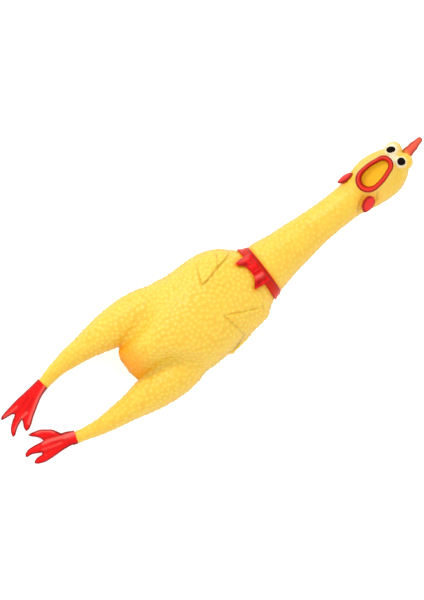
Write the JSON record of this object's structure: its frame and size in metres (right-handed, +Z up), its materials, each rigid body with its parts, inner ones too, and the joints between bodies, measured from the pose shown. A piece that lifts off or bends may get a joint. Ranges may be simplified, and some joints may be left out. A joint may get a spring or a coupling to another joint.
{
  "type": "rubber chicken",
  "caption": "Hollow squeezable rubber chicken lying on its back, with a bending neck and legs, a belly that presses in, a collar with a bow and a reed screamer in its throat.",
  "frame": {"origin": "on the table under the middle of the overall box, as the toy lies on its back", "axes": "+X from the toes to the comb, +Y to the bird's right side, +Z up out of its belly"},
  "size_m": [0.3094, 0.0704, 0.0476],
  "materials": {
    "yellow_rubber": "Satin moulded vinyl, pimpled",
    "red_rubber": "Glossy red paint on the moulding",
    "orange_rubber": "Orange paint inside the mouth",
    "coral_rubber": "Thin red paint on the comb and wattles",
    "white_rubber": "Cream-white paint round the eyes",
    "black_rubber": "Glossy black paint",
    "housing_plastic": "Plain moulded plastic",
    "seat_plastic": "Plain moulded plastic",
    "reed_plastic": "Thin springy plastic film"
  },
  "bodies": {
    "torso": {"torso": "yellow_rubber", "wing_right": "yellow_rubber", "wing_left": "yellow_rubber", "collar": "red_rubber", "bow_knot": "red_rubber", "bow_loops": "red_rubber", "neck_base_flex": "yellow_rubber", "hip_flex_right": "yellow_rubber", "hip_flex_left": "yellow_rubber"},
    "belly": {"belly_panel": "yellow_rubber"},
    "neck_lower": {"neck_lower": "yellow_rubber", "neck_mid_flex": "yellow_rubber"},
    "neck_upper": {"neck_upper": "yellow_rubber", "throat_flex": "yellow_rubber"},
    "head": {"head": "yellow_rubber", "mouth_lining": "orange_rubber", "beak": "red_rubber", "comb": "coral_rubber", "wattle_right": "coral_rubber", "wattle_left": "coral_rubber", "eye_right": "white_rubber", "eye_left": "white_rubber", "pupil_right": "black_rubber", "pupil_left": "black_rubber", "screamer_housing": "housing_plastic", "reed_seat": "seat_plastic", "reed_clamp": "seat_plastic"},
    "reed": {"reed": "reed_plastic"},
    "leg_upper_right": {"leg_upper_right": "yellow_rubber", "knee_flex_right": "yellow_rubber"},
    "leg_lower_right": {"leg_lower_right": "yellow_rubber", "ankle_flex_right": "yellow_rubber"},
    "foot_right": {"foot_right": "red_rubber"},
    "leg_upper_left": {"leg_upper_left": "yellow_rubber", "knee_flex_left": "yellow_rubber"},
    "leg_lower_left": {"leg_lower_left": "yellow_rubber", "ankle_flex_left": "yellow_rubber"},
    "foot_left": {"foot_left": "red_rubber"}
  },
  "joints": [
    {"name": "belly_press", "type": "slide", "parent": "torso", "child": "belly", "axis": [0, 0, -1], "range_m": [0, 0.012], "stiffness_N_per_m": 600},
    {"name": "neck_base_bend", "type": "hinge", "parent": "torso", "child": "neck_lower", "pos_m": [0.03825, -0.00155, 0.0176], "axis": [0, -1, 0], "range_deg": [-35, 35], "stiffness_Nm_per_rad": 0.3, "deforming": ["neck_base_flex"]},
    {"name": "neck_middle_bend", "type": "hinge", "parent": "neck_lower", "child": "neck_upper", "pos_m": [0.0575, -0.0006, 0.0155], "axis": [0, 0, 1], "range_deg": [-35, 35], "stiffness_Nm_per_rad": 0.2, "deforming": ["neck_mid_flex"]},
    {"name": "head_nod", "type": "hinge", "parent": "neck_upper", "child": "head", "pos_m": [0.0785, 0.0003, 0.014], "axis": [0, -1, 0], "range_deg": [-35, 35], "stiffness_Nm_per_rad": 0.15, "deforming": ["throat_flex"]},
    {"name": "reed_beat", "type": "hinge", "parent": "head", "child": "reed", "pos_m": [0.0911, 0.00095, 0.01417], "axis": [0, -0.9816, 0.1908], "range_deg": [0, 4], "stiffness_Nm_per_rad": 0.0001},
    {"name": "hip_bend_right", "type": "hinge", "parent": "torso", "child": "leg_upper_right", "pos_m": [-0.077, 0.0234, 0.0155], "axis": [0, 1, 0], "range_deg": [-30, 40], "stiffness_Nm_per_rad": 0.12, "deforming": ["hip_flex_right"]},
    {"name": "knee_splay_right", "type": "hinge", "parent": "leg_upper_right", "child": "leg_lower_right", "pos_m": [-0.101, 0.0237, 0.0116], "axis": [0, 0, -1], "range_deg": [0, 35], "stiffness_Nm_per_rad": 0.06, "deforming": ["knee_flex_right"]},
    {"name": "ankle_bend_right", "type": "hinge", "parent": "leg_lower_right", "child": "foot_right", "pos_m": [-0.11725, 0.0215, 0.0081], "axis": [0, 1, 0], "range_deg": [-35, 45], "stiffness_Nm_per_rad": 0.02, "deforming": ["ankle_flex_right"]},
    {"name": "hip_bend_left", "type": "hinge", "parent": "torso", "child": "leg_upper_left", "pos_m": [-0.077, -0.023, 0.0155], "axis": [0, 1, 0], "range_deg": [-30, 40], "stiffness_Nm_per_rad": 0.12, "deforming": ["hip_flex_left"]},
    {"name": "knee_splay_left", "type": "hinge", "parent": "leg_upper_left", "child": "leg_lower_left", "pos_m": [-0.101, -0.0217, 0.0116], "axis": [0, 0, 1], "range_deg": [0, 35], "stiffness_Nm_per_rad": 0.06, "deforming": ["knee_flex_left"]},
    {"name": "ankle_bend_left", "type": "hinge", "parent": "leg_lower_left", "child": "foot_left", "pos_m": [-0.11725, -0.0193, 0.0081], "axis": [0, 1, 0], "range_deg": [-35, 45], "stiffness_Nm_per_rad": 0.02, "deforming": ["ankle_flex_left"]}
  ]
}
